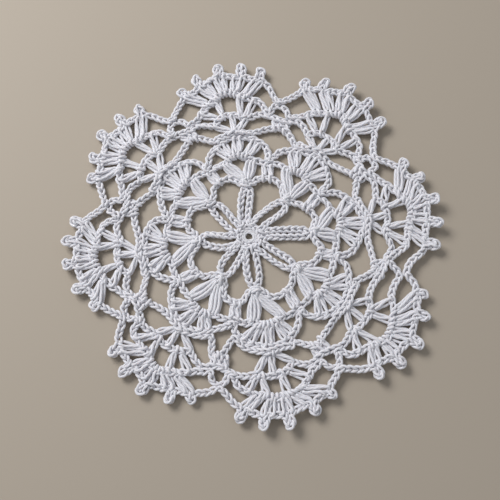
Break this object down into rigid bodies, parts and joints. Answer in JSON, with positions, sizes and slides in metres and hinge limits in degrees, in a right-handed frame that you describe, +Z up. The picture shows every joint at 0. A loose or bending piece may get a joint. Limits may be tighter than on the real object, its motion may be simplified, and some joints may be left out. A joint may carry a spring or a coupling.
{
  "type": "crocheted coaster",
  "caption": "Round crocheted lace coaster with petal centre, openwork rounds and fans edged with picots; lies flat and keeps a table dry under a cup.",
  "frame": {"origin": "centre of the mat at its underside, on the surface that it lies on", "axes": "+Z up, out of the mat's upper face; +Y towards the middle picot of one fan; +X towards the middle picot of the fan a quarter turn clockwise"},
  "size_m": [0.11, 0.11, 0.0044],
  "materials": {
    "white_cotton": "matt white mercerised crochet cotton"
  },
  "bodies": {
    "root": {"crochet_mat": "white_cotton"}
  },
  "joints": []
}
